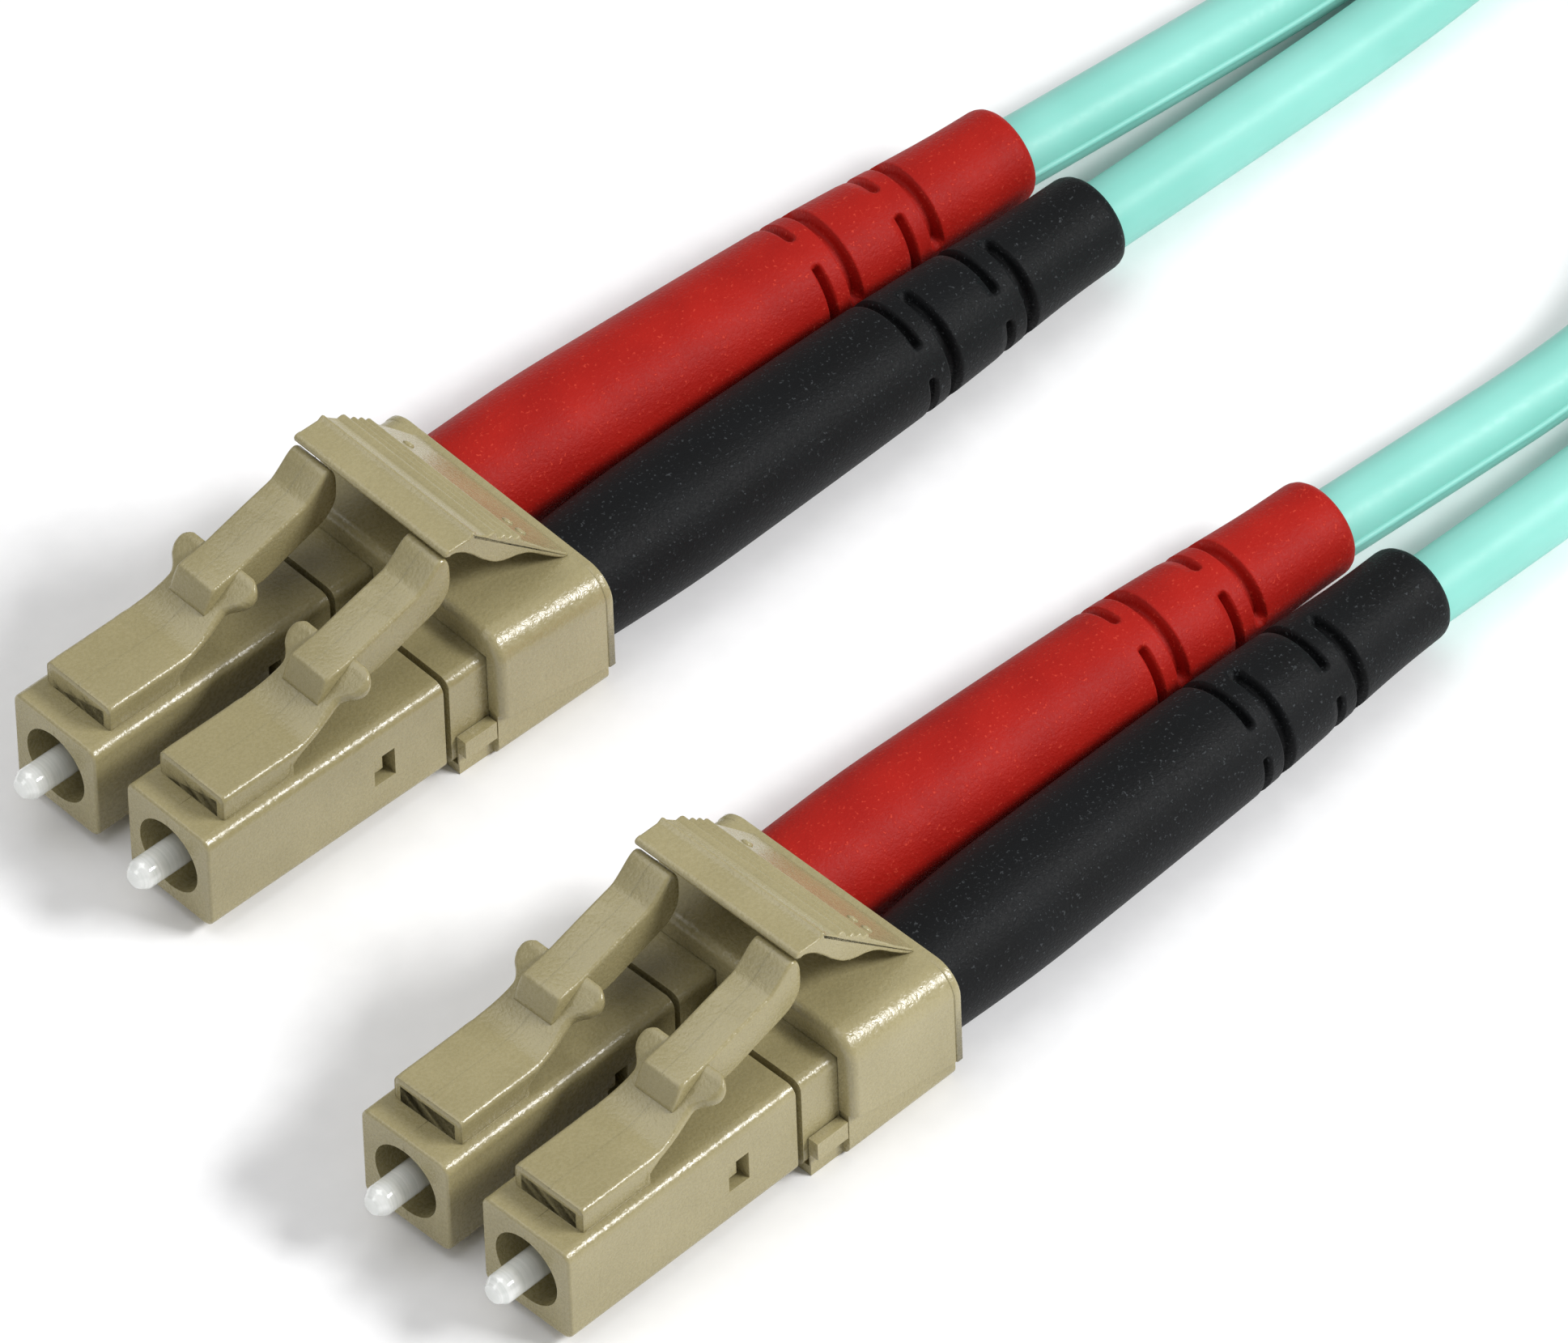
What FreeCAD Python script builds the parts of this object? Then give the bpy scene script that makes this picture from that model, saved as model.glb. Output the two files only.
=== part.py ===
"""Duplex LC to LC fibre optic patch cord, 1 m from plug to plug.

Two duplex plugs lie side by side on a surface (z = 0), ferrules towards -X, boots towards +X.
Each plug is drawn once in its own frame (x = 0 at the housings' front faces, y = 0 between the
two channels, z = 0 on the ferrule axes) and then set down at its place. Millimetres, +Z up.
"""
import FreeCAD, Part
import math
import os

V = FreeCAD.Vector

# Plug layout (LC interface: 1.25 mm ferrules, 4.5 mm square housings, 6.25 mm pitch)
PITCH = 6.25
AXIS_HEIGHT = 2.75
PLUGS = {"1": ((-20.27, 11.85), 0.0), "2": ((-24.67, -12.45), 2.5)}
SIDES = {"red": 1, "black": -1}

# Ferrule, flange and spring
FERRULE_R = 0.625
FERRULE_FRONT = -1.75
FERRULE_REAR = 5.0
SHANK_FRONT = 2.75
SHANK_R = 0.45
FERRULE_CHAMFER = 0.18
FIBRE_HOLE_R = 0.0625
FLANGE_FRONT = 3.14
FLANGE_REAR = 5.2
FLANGE_R = 1.30
STEM_R = 0.79
STEM_REAR = 7.4
CHANNEL_R = 0.55
SPRING_R = 1.02
SPRING_WIRE_R = 0.13
SPRING_END = 8.1
SPRING_TURNS = 5

# Front housing and its latch
SQUARE = 4.5
EDGE_R = 0.45
HOUSING_REAR = 11.6
MOUTH_R = 1.58
MOUTH_DEPTH = 2.8
SEAT_R = 0.88
SEAT_REAR = 3.1
CAVITY_R = 1.55
BLOCK = (1.25, 4.70)
BLOCK_TOP = 3.35
BLOCK_HALF = 1.75
ARM_HALF = 1.0
WING_HALF = 2.13
WINDOW = (8.12, 9.14)
WINDOW_Z = (-0.60, 0.75)
TOOTH_X = (8.15, 8.74)
TOOTH_Z = (-0.22, 0.72)
TOOTH_HALF = 2.0

# Rear body, crimp and boot
REAR_FRONT = 11.87
REAR_BACK = 19.0
TAIL_FRONT = 8.15
TAIL_R = 1.47
THROAT_R = 0.90
POST_R = 1.30
POST_BACK = 23.5
CRIMP_R = 1.62
CRIMP_BACK = 25.5
BOOT_FRONT = 19.4
BOOT_END = 46.8
BOOT_TILT = -1.5
BOOT_DROP = 0.9
BOOT_OUTLINE = [(0.0, 2.46), (4.6, 2.62), (9.0, 2.58), (15.2, 2.46), (18.8, 2.34), (24.2, 2.00)]
BOOT_END_R = 1.95
BOOT_BORE_R = 1.56
SLOT_DEPTH = 0.42
SLOT_RINGS = [(16.6, 0.42, 90.0, 100.0), (17.95, 0.62, 0.0, 150.0),
              (20.7, 0.42, 90.0, 100.0), (22.0, 0.62, 0.0, 150.0)]
SLOT_TURN = {"red": 8.0, "black": -34.0}

# Duplex clip and trigger
CLIP_X = (13.70, 19.30)
CLIP_HALF = 6.15
CLIP_TOP = (3.40, 2.95)
CLIP_LOW = (-0.55, -1.60)
CLIP_EDGE_R = 1.2
BASE_BOTTOM = -AXIS_HEIGHT
BASE_TOP = -2.30
TAB = (12.1, 13.6)
TRIGGER_HALF = 4.2

# Cord: two 2.8 mm legs, side by side in the coil
LEG_R = 1.4
COIL_CENTRE = (78.0, 0.0)
COIL_OUTER = 27.0
COIL_INNER = 11.4
COIL_BASE = 0.5
COIL_HEIGHT = 11.4
TIE_WIDTH = 9.0
TIE_THICK = 0.5
LEG_ROUTES = {
    "leg_a_start": [(19.7, 14.44, 2.43), (29.7, 14.15, 1.65), (45.7, 13.20, 1.42), (54.0, 14.6, 1.6),
                    (61.54, 19.61, 1.92)],
    "leg_b_start": [(19.7, 9.27, 2.43), (29.7, 9.65, 1.65), (45.7, 9.85, 1.42), (55.2, 11.5, 1.6),
                    (63.41, 17.39, 1.92)],
    "leg_a_end": [(15.4, -13.29, 2.43), (25.7, -12.75, 1.65), (36.0, -12.3, 1.42), (43.5, -12.2, 3.5),
                  (50.5, -13.0, 7.3), (56.5, -15.7, 10.0), (61.54, -19.61, 10.44)],
    "leg_b_end": [(15.2, -8.13, 2.43), (25.7, -7.95, 1.65), (36.0, -8.15, 1.42), (43.2, -8.1, 3.6),
                  (50.4, -8.8, 7.7), (57.0, -11.7, 10.2), (63.41, -17.39, 10.44)],
}

parts = {}


def box(x, y, z):
    """A box between pairs of x, y and z limits."""
    return Part.makeBox(x[1] - x[0], y[1] - y[0], z[1] - z[0], V(x[0], y[0], z[0]))


def rod(x, radius, y=0.0, z=0.0):
    """A round rod along X."""
    return Part.makeCylinder(radius, x[1] - x[0], V(x[0], y, z), V(1, 0, 0))


def tube(x, outer, inner):
    return rod(x, outer).cut(rod((x[0] - 1, x[1] + 1), inner))


def side_prism(outline, half_width):
    """An x-z outline made as wide as half_width on both sides of y = 0."""
    wire = Part.makePolygon([V(x, -half_width, z) for x, z in outline + outline[:1]])
    return Part.Face(wire).extrude(V(0, 2 * half_width, 0))


def top_prism(outline, z):
    """An x-y outline made into a prism between two heights."""
    wire = Part.makePolygon([V(x, y, z[0]) for x, y in outline + outline[:1]])
    return Part.Face(wire).extrude(V(0, 0, z[1] - z[0]))


def turned(outline):
    """A solid of revolution about the X axis from an x-radius outline."""
    wire = Part.makePolygon([V(x, 0, r) for x, r in outline + outline[:1]])
    return Part.Face(wire).revolve(V(0, 0, 0), V(1, 0, 0), 360)


def rounded(shape, radius, pick):
    """Fillet the edges whose middle and direction are picked."""
    edges = []
    for edge in shape.Edges:
        middle = edge.valueAt((edge.FirstParameter + edge.LastParameter) / 2)
        along = edge.tangentAt((edge.FirstParameter + edge.LastParameter) / 2)
        if pick(middle, along):
            edges.append(edge)
    return shape.makeFillet(radius, edges)


def square_bar(x):
    """The 4.5 mm square bar with rounded long edges that both housings share."""
    half = SQUARE / 2
    bar = box(x, (-half, half), (-half, half))
    return rounded(bar, EDGE_R, lambda middle, along: abs(along.x) > 0.9)


def add(name, shape):
    """Keep a finished piece under its node name as clean closed solids."""
    solids = shape.Solids
    piece = solids[0] if len(solids) == 1 else Part.makeCompound(solids)
    parts[name] = piece


def set_down(shape, plug, side=0):
    """Move a piece from the plug frame to its place on the surface."""
    (x, y), turn = PLUGS[plug]
    placed = shape.copy()
    placed.translate(V(0, side * PITCH / 2, 0))
    placed.rotate(V(0, 0, 0), V(0, 0, 1), turn)
    placed.translate(V(x, y, AXIS_HEIGHT))
    return placed


def ferrule():
    """The zirconia ferrule: chamfered tip, fibre hole, and a thinner shank pressed into the flange."""
    body = rod((FERRULE_FRONT, SHANK_FRONT), FERRULE_R)
    body = body.fuse(rod((SHANK_FRONT - 0.1, FERRULE_REAR), SHANK_R))
    tip = [edge for edge in body.Edges if abs(edge.CenterOfMass.x - FERRULE_FRONT) < 1e-6]
    body = body.makeChamfer(FERRULE_CHAMFER, tip)
    return body.cut(rod((FERRULE_FRONT - 1, FERRULE_REAR + 1), FIBRE_HOLE_R))


def ferrule_flange():
    """The metal flange that the ferrule is pressed into, with its stem through the spring."""
    collar = rod((FLANGE_FRONT, FLANGE_REAR), FLANGE_R)
    boss = rod((SHANK_FRONT, FLANGE_FRONT + 0.1), STEM_R)
    stem = rod((FLANGE_REAR - 0.1, STEM_REAR), STEM_R)
    socket = rod((SHANK_FRONT - 1, FERRULE_REAR + 0.01), SHANK_R + 0.005)
    channel = rod((FERRULE_REAR - 0.1, STEM_REAR + 1), CHANNEL_R)
    notches = Part.makeCompound([box((FLANGE_FRONT + 0.6, FLANGE_REAR - 0.4), (s - 0.2, s + 0.2), (-0.3, 0.3))
                                 for s in (-FLANGE_R, FLANGE_R)])
    return collar.fuse(boss).fuse(stem).cut(socket).cut(channel).cut(notches)


def ferrule_spring():
    """The compression spring behind the flange: half turns that lean back and forth, end to end."""
    start = FLANGE_REAR + SPRING_WIRE_R + 0.03
    lean = (SPRING_END - SPRING_WIRE_R - 0.03 - start) / (2 * SPRING_TURNS)
    half_turns = []
    for step in range(2 * SPRING_TURNS):
        way = 1 if step % 2 == 0 else -1
        begin = V(start + step * lean, way * SPRING_R, 0)
        end = V(start + (step + 1) * lean, -way * SPRING_R, 0)
        section = Part.Face(Part.Wire(Part.makeCircle(SPRING_WIRE_R, begin, V(0, 0, 1))))
        axis = V(0, 0, way).cross(end - begin)
        half_turns.append(section.revolve((begin + end) / 2, axis, 180))
    return half_turns[0].multiFuse(half_turns[1:]).removeSplitter().Solids[0]


def front_housing():
    """The front shell: bore for the adapter sleeve, seat, spring cavity, side windows, latch block."""
    body = square_bar((0, HOUSING_REAR))
    body = rounded(body, 0.14, lambda middle, along: middle.x < 0.01)
    block = box(BLOCK, (-BLOCK_HALF, BLOCK_HALF), (SQUARE / 2 - 0.3, BLOCK_TOP))
    block = rounded(block, 0.34, lambda middle, along: abs(along.z) > 0.9 and middle.x < 2)
    block = rounded(block, 0.30, lambda middle, along: middle.z > BLOCK_TOP - 0.01 and middle.x < 4.6)
    body = body.fuse(block)
    body = body.cut(rod((-1, MOUTH_DEPTH), MOUTH_R))
    body = body.cut(rod((0, SEAT_REAR + 0.1), SEAT_R))
    body = body.cut(rod((SEAT_REAR, HOUSING_REAR + 1), CAVITY_R))
    return body.cut(box(WINDOW, (-SQUARE, SQUARE), WINDOW_Z)).removeSplitter()


def latch():
    """The sprung latch: a flat neck that sweeps up, two wings and a straight arm with a tip."""
    neck = side_prism([(4.72, 2.75), (5.25, 2.93), (6.26, 3.25), (7.2, 3.60), (8.0, 4.00), (8.5, 4.32),
                       (8.5, 5.02), (7.9, 4.66), (7.2, 4.18), (6.6, 3.82), (6.0, 3.52), (5.4, 3.37),
                       (4.72, 3.35)], WING_HALF + 1)
    half = [(4.6, BLOCK_HALF), (5.6, BLOCK_HALF - 0.05), (6.9, 1.50), (7.35, 1.60), (7.6, 2.0),
            (7.95, WING_HALF), (8.3, WING_HALF - 0.03), (8.56, 1.80), (8.6, 1.4)]
    outline = half + [(x, -y) for x, y in reversed(half)]
    neck = neck.common(top_prism(outline, (2, 6)))
    arm = side_prism([(6.48, 3.80), (7.16, 4.84), (8.4, 5.10), (10.2, 5.62), (11.7, 6.00), (12.3, 6.50),
                      (12.75, 6.93), (13.10, 6.88), (13.26, 6.50), (13.26, 5.60), (13.03, 4.93),
                      (12.5, 4.52), (10.9, 4.00), (9.4, 3.52), (8.5, 3.62), (7.4, 3.66)], ARM_HALF)
    return neck.fuse(arm).removeSplitter()


def rear_body():
    """The rear shell: square bar with a snap tail in front and a knurled crimp post behind."""
    body = square_bar((REAR_FRONT, REAR_BACK))
    body = body.fuse(rod((TAIL_FRONT, REAR_FRONT + 0.1), TAIL_R))
    body = body.fuse(box(TOOTH_X, (-TOOTH_HALF, TOOTH_HALF), TOOTH_Z))
    body = body.fuse(rod((REAR_BACK - 0.1, POST_BACK), POST_R - 0.05))
    for step in range(6):
        start = REAR_BACK + 0.6 + step * 0.6
        body = body.fuse(rod((start, start + 0.3), POST_R))
    return body.cut(rod((TAIL_FRONT - 1, POST_BACK + 1), THROAT_R)).removeSplitter()


def aramid_yarn():
    """The strength yarn, spread over the crimp post under the sleeve."""
    return tube((REAR_BACK + 0.7, POST_BACK + 1.2), CRIMP_R - 0.16, POST_R + 0.02)


def crimp_sleeve():
    """The metal sleeve with its wider front on the post and its necked rear on the jacket."""
    outline = [(REAR_BACK + 0.6, CRIMP_R - 0.14), (CRIMP_BACK, CRIMP_R - 0.14), (CRIMP_BACK, CRIMP_R),
               (POST_BACK + 0.6, CRIMP_R), (POST_BACK + 0.3, CRIMP_R + 0.1), (REAR_BACK + 0.6, CRIMP_R + 0.1)]
    return turned(outline)


def buffered_fibre():
    """The 0.9 mm buffered fibre from the flange's stem to the end of the crimp sleeve."""
    return rod((STEM_REAR + 1.1, CRIMP_BACK), 0.45)


def aim_boot(shape, side):
    """Lean a boot in towards the other one and down towards the surface, about its front end."""
    aimed = shape.copy()
    pivot = V(BOOT_FRONT, 0, 0)
    aimed.rotate(pivot, V(0, 1, 0), BOOT_DROP)
    aimed.rotate(pivot, V(0, 0, 1), BOOT_TILT * side)
    return aimed


def boot_slots(turn):
    """Rings of paired slots: each ring is two arcs, and every second ring is turned a quarter."""
    cutters = []
    for start, width, centre, span in SLOT_RINGS:
        for half_turn in (0, 180):
            ring = Part.makeCylinder(4.0, width, V(0, 0, 0), V(0, 0, 1), span)
            ring = ring.cut(Part.makeCylinder(boot_radius(start) - SLOT_DEPTH, width))
            ring.rotate(V(0, 0, 0), V(0, 0, 1), -span / 2)
            ring.rotate(V(0, 0, 0), V(0, 1, 0), 90)
            ring.rotate(V(0, 0, 0), V(1, 0, 0), 180 + centre + half_turn + turn)
            ring.translate(V(BOOT_FRONT + start, 0, 0))
            cutters.append(ring)
    return Part.makeCompound(cutters)


def boot_radius(distance):
    """The boot's outer radius at a distance behind its front, by straight lines between stations."""
    for (x0, r0), (x1, r1) in zip(BOOT_OUTLINE, BOOT_OUTLINE[1:]):
        if distance <= x1:
            return r0 + (r1 - r0) * (distance - x0) / (x1 - x0)
    return BOOT_END_R


def boot(side_name):
    """The soft tapered boot: wide over the crimp, slotted near its end, with a plain end collar."""
    curve = Part.BSplineCurve()
    curve.interpolate([V(BOOT_FRONT + x, 0, r) for x, r in BOOT_OUTLINE])
    last_x, last_r = BOOT_FRONT + BOOT_OUTLINE[-1][0], BOOT_OUTLINE[-1][1]
    edges = [curve.toShape()]
    corners = [(last_x, last_r), (BOOT_END - 0.35, BOOT_END_R), (BOOT_END - 0.1, BOOT_END_R - 0.1),
               (BOOT_END, BOOT_END_R - 0.35), (BOOT_END, 0), (BOOT_FRONT, 0), (BOOT_FRONT, BOOT_OUTLINE[0][1])]
    for (x0, r0), (x1, r1) in zip(corners, corners[1:]):
        edges.append(Part.LineSegment(V(x0, 0, r0), V(x1, 0, r1)).toShape())
    body = Part.Face(Part.Wire(edges)).revolve(V(0, 0, 0), V(1, 0, 0), 360)
    body = Part.Solid(body) if body.ShapeType == "Shell" else body
    body = body.cut(boot_slots(SLOT_TURN[side_name]))
    body = aim_boot(body, SIDES[side_name])
    body = body.cut(rod((BOOT_FRONT - 1, CRIMP_BACK + 0.5), CRIMP_R + 0.2))
    bore = aim_boot(rod((BOOT_FRONT, BOOT_END + 1), BOOT_BORE_R), SIDES[side_name])
    return body.cut(bore)


def clip_outside():
    """The clip's outer form: a slightly sloping block with large rounded top sides."""
    outline = [(CLIP_X[0], CLIP_LOW[0]), (CLIP_X[0], CLIP_TOP[0]), (CLIP_X[1], CLIP_TOP[1]),
               (CLIP_X[1], CLIP_LOW[1])]
    body = side_prism(outline, CLIP_HALF)
    body = rounded(body, CLIP_EDGE_R, lambda middle, along: abs(along.x) > 0.9 and middle.z > 2)
    return rounded(body, 0.4, lambda middle, along: middle.x < CLIP_X[0] + 0.2 and middle.z > CLIP_LOW[0] + 0.1)


def channel_room(x, gap):
    """The two square channels that the rear bodies fill, with a gap all round."""
    half = SQUARE / 2 + gap
    rooms = [box(x, (s * PITCH / 2 - half, s * PITCH / 2 + half), (-half - 3, half)) for s in (-1, 1)]
    return rooms[0].fuse(rooms[1])


def clip_shell():
    """The upper half of the duplex clip, over both rear bodies."""
    body = clip_outside().cut(channel_room((CLIP_X[0] - 1, REAR_BACK + 0.05), 0.04))
    for side in (-1, 1):
        body = body.cut(rod((REAR_BACK, CLIP_X[1] + 1), 2.3, side * PITCH / 2))
    return body


def clip_base():
    """The lower half of the clip: a tray under the rear bodies with a locating tab on each side."""
    tray = box((TAB[0], CLIP_X[1] - 0.1), (-5.36, 5.36), (BASE_BOTTOM, BASE_TOP))
    side_outline = [(CLIP_X[0] + 0.05, BASE_BOTTOM), (CLIP_X[0] + 0.05, CLIP_LOW[0] - 0.03),
                    (CLIP_X[1] - 0.1, CLIP_LOW[1] - 0.03), (CLIP_X[1] - 0.1, BASE_BOTTOM)]
    rails = side_prism(side_outline, 5.85)
    rails = rounded(rails, 0.5, lambda middle, along: abs(along.x) > 0.9 and middle.z < BASE_BOTTOM + 0.1)
    inside = box((0, 30), (-5.42, 5.42), (BASE_TOP, 3))
    rails = rails.cut(inside)
    body = tray.fuse(rails)
    for side in (-1, 1):
        rib = box((TAB[0], CLIP_X[0] + 0.2), sorted((side * 5.30, side * 5.50)), (BASE_BOTTOM, -1.2))
        tab = box((TAB[0], CLIP_X[0] - 0.05), sorted((side * 5.42, side * 5.90)), (-1.65, -0.80))
        body = body.fuse(rib.cut(inside)).fuse(tab)
    return body.removeSplitter()


def trigger():
    """The wide push plate that bridges both latch tips, thin where it bends at the clip."""
    plate = side_prism([(13.02, 7.12), (13.10, 7.26), (13.30, 7.34), (14.39, 7.30), (14.67, 7.16), (15.44, 6.50),
                        (16.52, 5.62), (17.86, 4.16), (18.70, 3.30), (18.92, 3.12), (18.92, 2.98),
                        (18.62, 3.06), (17.26, 4.28), (16.68, 4.66), (15.38, 5.18), (14.92, 5.62),
                        (13.96, 6.70), (13.30, 7.04)], TRIGGER_HALF)
    return rounded(plate, 0.35, lambda middle, along: abs(along.y) < 0.1 and middle.x < 13.15)


def leg_path(points):
    """Straight runs joined by tangent arcs, each as large as its two runs allow."""
    points = [V(*point) for point in points]
    edges = []
    radii = []
    start = points[0]
    for before, corner, after in zip(points, points[1:], points[2:]):
        into = (corner - before).normalize()
        out = (after - corner).normalize()
        turn = into.getAngle(out)
        run = min((corner - before).Length, (after - corner).Length)
        radius = 0.45 * run / math.tan(turn / 2)
        radii.append(radius)
        first = corner - into * 0.45 * run
        last = corner + out * 0.45 * run
        bisector = (out - into).normalize()
        centre = corner + bisector * (radius / math.cos(turn / 2))
        middle = centre - bisector * radius
        edges.append(Part.LineSegment(start, first).toShape())
        edges.append(Part.Arc(first, middle, last).toShape())
        start = last
    edges.append(Part.LineSegment(start, points[-1]).toShape())
    return Part.Wire(edges), radii


def leg_tube(name):
    """One uncoiled stretch of a leg, with its bend radii and volume printed."""
    path, radii = leg_path(LEG_ROUTES[name])
    begin = V(*LEG_ROUTES[name][0])
    along = V(*LEG_ROUTES[name][1]) - begin
    section = Part.Wire(Part.makeCircle(LEG_R, begin, along))
    solid = path.makePipeShell([section], True, False)
    expected = math.pi * LEG_R ** 2 * path.Length
    print(name, "length", round(path.Length, 1), "radii", [round(r) for r in radii],
          "volume ratio", round(solid.Volume / expected, 4))
    return solid


def coil():
    """The outer shape of the put-away coil: both legs side by side, in four layers."""
    x, y = COIL_CENTRE
    outer = Part.makeCylinder(COIL_OUTER, COIL_HEIGHT, V(x, y, COIL_BASE))
    return outer.cut(Part.makeCylinder(COIL_INNER, COIL_HEIGHT, V(x, y, COIL_BASE)))


def tie():
    """The hook-and-loop tie round the coil's section, on the side away from the plugs."""
    x = (COIL_CENTRE[0] + COIL_INNER - 1.3, COIL_CENTRE[0] + COIL_OUTER + 0.1)
    y = (COIL_CENTRE[1] - TIE_WIDTH / 2, COIL_CENTRE[1] + TIE_WIDTH / 2)
    z = (COIL_BASE, COIL_BASE + COIL_HEIGHT + 0.05)
    thick = TIE_THICK
    band = box((x[0] - thick, x[1] + thick), y, (z[0] - thick, z[1] + thick))
    band = rounded(band, 1.0, lambda middle, along: abs(along.y) > 0.9)
    return band.cut(box(x, (y[0] - 1, y[1] + 1), z))


for plug in PLUGS:
    for side_name, side in SIDES.items():
        tag = plug + "_" + side_name
        add("ferrule_" + tag, set_down(ferrule(), plug, side))
        add("ferrule_flange_" + tag, set_down(ferrule_flange(), plug, side))
        add("ferrule_spring_" + tag, set_down(ferrule_spring(), plug, side))
        add("front_housing_" + tag, set_down(front_housing(), plug, side))
        add("latch_" + tag, set_down(latch(), plug, side))
        add("rear_body_" + tag, set_down(rear_body(), plug, side))
        add("aramid_yarn_" + tag, set_down(aramid_yarn(), plug, side))
        add("crimp_sleeve_" + tag, set_down(crimp_sleeve(), plug, side))
        add("buffered_fibre_" + tag, set_down(buffered_fibre(), plug, side))
        add("boot_" + tag, set_down(boot(side_name), plug, side))
    add("clip_shell_" + plug, set_down(clip_shell(), plug))
    add("clip_base_" + plug, set_down(clip_base(), plug))
    add("trigger_" + plug, set_down(trigger(), plug))

for route in LEG_ROUTES:
    add(route, leg_tube(route))
add("cord_coil", coil())
add("coil_tie", tie())

os.makedirs("parts", exist_ok=True)
for name, shape in parts.items():
    if not shape.isValid() or shape.Volume <= 0:
        print("check this piece:", name, shape.isValid(), shape.Volume)
    shape.exportStep("parts/" + name + ".step")

plug_box = FreeCAD.BoundBox()
for name, shape in parts.items():
    if not name.startswith(("leg_", "cord_", "coil_")):
        plug_box.add(shape.BoundBox)
print(len(parts), "pieces; both plugs' box", plug_box)
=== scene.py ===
"""Studio scene of a duplex LC to LC fibre optic patch cord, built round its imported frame."""

import math

import bmesh
import bpy
from mathutils import Matrix, Vector


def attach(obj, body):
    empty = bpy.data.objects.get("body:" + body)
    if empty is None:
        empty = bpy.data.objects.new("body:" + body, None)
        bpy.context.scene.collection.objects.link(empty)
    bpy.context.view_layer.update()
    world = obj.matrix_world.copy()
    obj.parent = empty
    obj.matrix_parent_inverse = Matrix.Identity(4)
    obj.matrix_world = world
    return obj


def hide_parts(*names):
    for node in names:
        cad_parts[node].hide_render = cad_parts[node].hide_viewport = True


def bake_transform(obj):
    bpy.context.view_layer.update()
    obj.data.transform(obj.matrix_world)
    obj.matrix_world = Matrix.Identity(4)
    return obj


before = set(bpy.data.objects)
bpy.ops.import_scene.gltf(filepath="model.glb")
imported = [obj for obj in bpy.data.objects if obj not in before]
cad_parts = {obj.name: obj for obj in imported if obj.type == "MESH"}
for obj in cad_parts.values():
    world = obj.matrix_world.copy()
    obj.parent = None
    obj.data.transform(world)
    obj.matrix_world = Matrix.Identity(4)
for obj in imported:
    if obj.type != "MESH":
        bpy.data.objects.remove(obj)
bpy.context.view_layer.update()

MM = 0.001

# The plugs' places on the table, and the channels in them
PLUGS = {"1": ((-20.27, 11.85), 0.0), "2": ((-24.67, -12.45), 2.5)}
SIDES = {"red": 1, "black": -1}
PITCH = 6.25
AXIS_HEIGHT = 2.75

# Boots: their outline behind the clip, the lean of each pair, and their rings of strain relief slots
BOOT_FRONT = 19.4
BOOT_OUTLINE = [(0.0, 2.46), (4.6, 2.62), (9.0, 2.58), (15.2, 2.46), (18.8, 2.34), (24.2, 2.03), (26.9, 1.97)]
BOOT_MOUTH = [(27.05, 1.95), (27.2, 1.89), (27.32, 1.78), (27.4, 1.62), (27.4, 1.5), (27.2, 1.46),
              (24.0, 1.46)]
BOOT_PLAIN_END = 26.9
BOOT_TILT = -1.5
BOOT_DROP = 0.9
SLOT_RINGS = [(16.85, 0.46, 0.0), (18.05, 0.66, 90.0), (21.00, 0.46, 0.0), (22.20, 0.66, 90.0)]
SLOT_SPAN = 150.0
SLOT_DEPTH = 0.55
SLOT_TURN = {"red": 17.0, "black": 57.6}

# The cord: two legs, 2.8 mm thick, coiled side by side in four layers
LEG_DIAMETER = 2.8
LANE = 1.45
ZIP_STEP = 5.8
COIL_CENTRE = (78.0, 0.0)
COIL_RADIUS = 24.15
COIL_ENTRY = 130.0
COIL_TURNS = 2420.0 / 360.0
POINTS_PER_TURN = 24
LAYERS = 4
CHANGE_TURNS = 0.3
LAYER_BASE = 1.92
LAYER_STEP = 2.84
LEGS = {
    "a": {"outer_first": True, "web": "start", "from": "1_red", "to": "2_black",
          "start": [(19.7, 14.44, 2.43), (29.7, 14.15, 1.65), (45.7, 13.20, 1.42), (54.0, 14.6, 1.6)],
          "end": [(15.4, -13.29, 2.43), (25.7, -12.75, 1.65), (36.0, -12.3, 1.42), (43.5, -12.2, 3.5),
                  (50.5, -13.0, 7.3), (56.5, -15.7, 10.0)]},
    "b": {"outer_first": False, "web": "end", "from": "1_black", "to": "2_red",
          "start": [(19.7, 9.27, 2.43), (29.7, 9.65, 1.65), (45.7, 9.85, 1.42), (55.2, 11.5, 1.6)],
          "end": [(15.2, -8.13, 2.43), (25.7, -7.95, 1.65), (36.0, -8.15, 1.42), (43.2, -8.1, 3.6),
                  (50.4, -8.8, 7.7), (57.0, -11.7, 10.2)]},
}

# The camera: a long lens from the near left, above
LENS = 758.94
CAMERA_PLACE = (-542.68, -633.37, 887.49)
CAMERA_ANGLES = (-40.71, 46.64, -2.276)


# ---------------------------------------------------------------- materials
def linear(code):
    """An sRGB hex value as linear colour."""
    values = [int(code[i:i + 2], 16) / 255 for i in (0, 2, 4)]
    return tuple(v / 12.92 if v <= 0.04045 else ((v + 0.055) / 1.055) ** 2.4 for v in values) + (1.0,)


def add_node(tree, kind, settings=(), inputs=(), links=()):
    """Add a node, set its properties and inputs, and link other nodes' outputs to it."""
    node = tree.nodes.new(kind)
    for name, value in dict(settings).items():
        setattr(node, name, value)
    for name, value in dict(inputs).items():
        node.inputs[name].default_value = value
    for name, output in dict(links).items():
        tree.links.new(output, node.inputs[name])
    return node


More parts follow.
